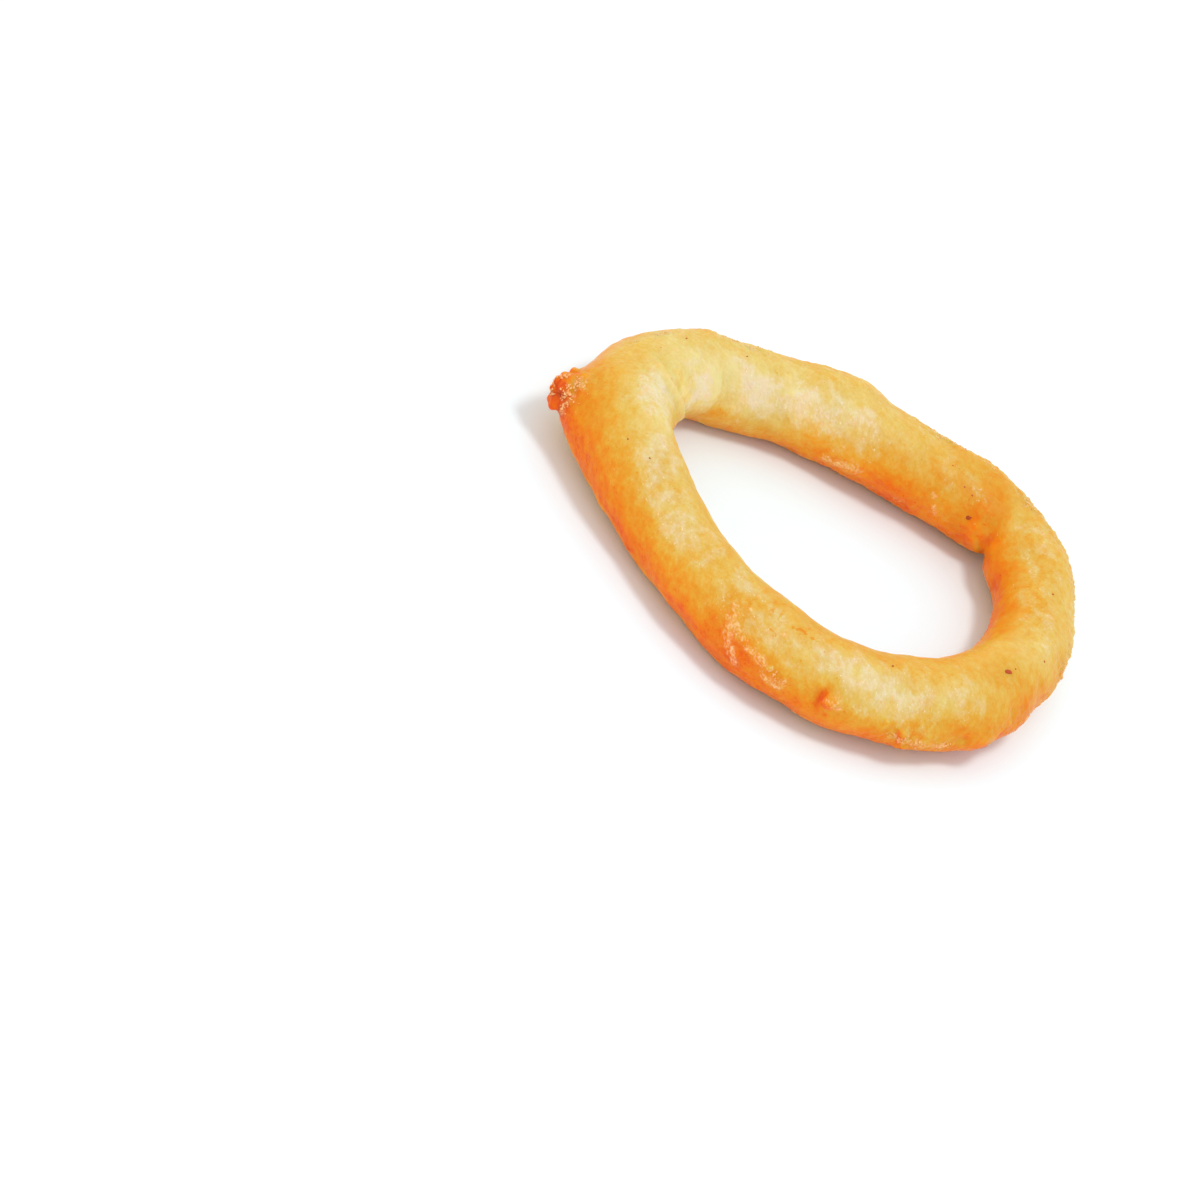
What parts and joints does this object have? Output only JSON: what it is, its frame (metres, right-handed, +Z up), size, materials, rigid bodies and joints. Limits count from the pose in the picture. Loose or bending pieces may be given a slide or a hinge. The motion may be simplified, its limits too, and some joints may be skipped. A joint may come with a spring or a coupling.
{
  "type": "battered onion ring",
  "caption": "Deep-fried onion ring lying flat: a plump, lopsided oval tube of puffed golden batter with a crumbly knob at its narrow end.",
  "frame": {"origin": "on the surface that the ring lies on, under the middle of its bounding box", "axes": "+X along the ring's length, away from its pointed end; +Y across it; +Z up"},
  "size_m": [0.0912, 0.0696, 0.017],
  "materials": {
    "fried_batter": "puffed deep-fried batter, golden to orange, slightly oily and finely pebbled"
  },
  "bodies": {
    "root": {"battered_ring": "fried_batter"}
  },
  "joints": []
}
